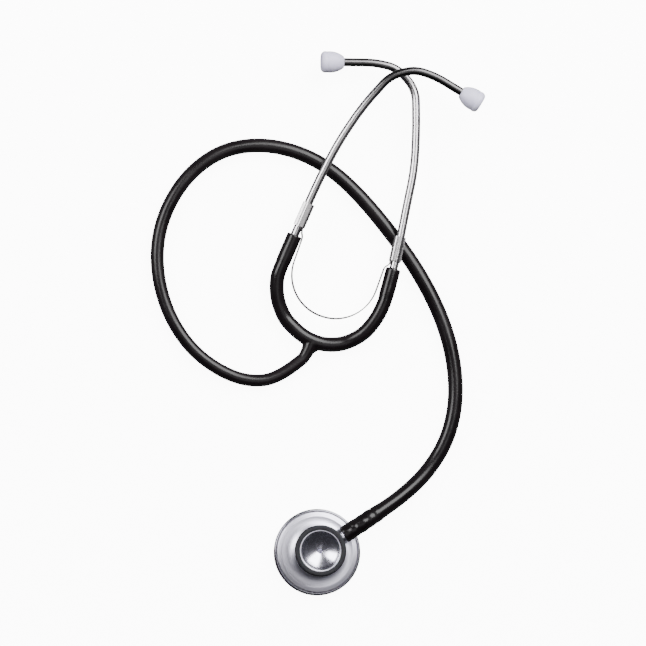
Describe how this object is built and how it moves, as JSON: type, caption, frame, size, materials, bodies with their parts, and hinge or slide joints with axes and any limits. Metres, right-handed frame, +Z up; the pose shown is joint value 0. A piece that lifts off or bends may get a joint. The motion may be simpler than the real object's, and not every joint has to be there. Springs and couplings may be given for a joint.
{
  "type": "stethoscope",
  "caption": "Acoustic stethoscope: swivelling diaphragm-and-bell chest piece, black moulded Y tubing, sprung metal ear tubes and soft ear tips.",
  "frame": {"origin": "centre of the diaphragm's contact face, on the surface that it lies on", "axes": "+Z up through the bell, +Y from the chest piece towards the ear tips, +X completes a right-handed frame"},
  "size_m": [0.183, 0.2989, 0.0286],
  "materials": {
    "tubing": "glossy black moulded PVC",
    "stem_metal": "polished plating",
    "seal_rubber": "matt black",
    "spring_steel": "rolled strip",
    "ear_tube_metal": "satin plating",
    "bush_metal": "turned",
    "eartip_soft": "soft, off-white, satin",
    "clip_metal": "pressed sheet, satin",
    "chest_metal": "turned satin dish and polished bell",
    "rim_rubber": "dark grey, satin",
    "film": "stiff film, satin",
    "ring_metal": "turned",
    "detent_steel": "ground"
  },
  "bodies": {
    "root": {"y_junction": "tubing", "main_tube": "tubing", "stem": "stem_metal", "stem_o_ring": "seal_rubber", "leaf_spring": "spring_steel", "arm_left": "tubing", "arm_right": "tubing"},
    "binaural_left": {"ear_tube_left": "ear_tube_metal", "ear_bush_left": "bush_metal", "eartip_left": "eartip_soft", "spring_clip_left": "clip_metal"},
    "binaural_right": {"ear_tube_right": "ear_tube_metal", "ear_bush_right": "bush_metal", "eartip_right": "eartip_soft", "spring_clip_right": "clip_metal"},
    "head": {"chestpiece_body": "chest_metal", "bell_rim": "rim_rubber", "diaphragm": "film", "diaphragm_ring": "ring_metal", "diaphragm_gasket": "seal_rubber", "detent_ball": "detent_steel", "detent_spring": "detent_steel", "detent_plug": "detent_steel"}
  },
  "joints": [
    {"name": "left_ear_tube_flex", "type": "hinge", "parent": "root", "child": "binaural_left", "pos_m": [-0.02296, 0.13966, 0.00832], "axis": [-0.0333, -0.0991, 0.9945], "range_deg": [0, 45], "stiffness_Nm_per_rad": 0.7, "deforming": ["arm_left", "leaf_spring"]},
    {"name": "right_ear_tube_flex", "type": "hinge", "parent": "root", "child": "binaural_right", "pos_m": [0.02711, 0.12228, 0.012], "axis": [0, 0, -1], "range_deg": [0, 45], "stiffness_Nm_per_rad": 0.7, "deforming": ["arm_right", "leaf_spring"]},
    {"name": "head_swivel", "type": "hinge", "parent": "root", "child": "head", "pos_m": [0, 0, 0.0128], "axis": [0.8387, 0.5446, 0], "continuous": true}
  ]
}
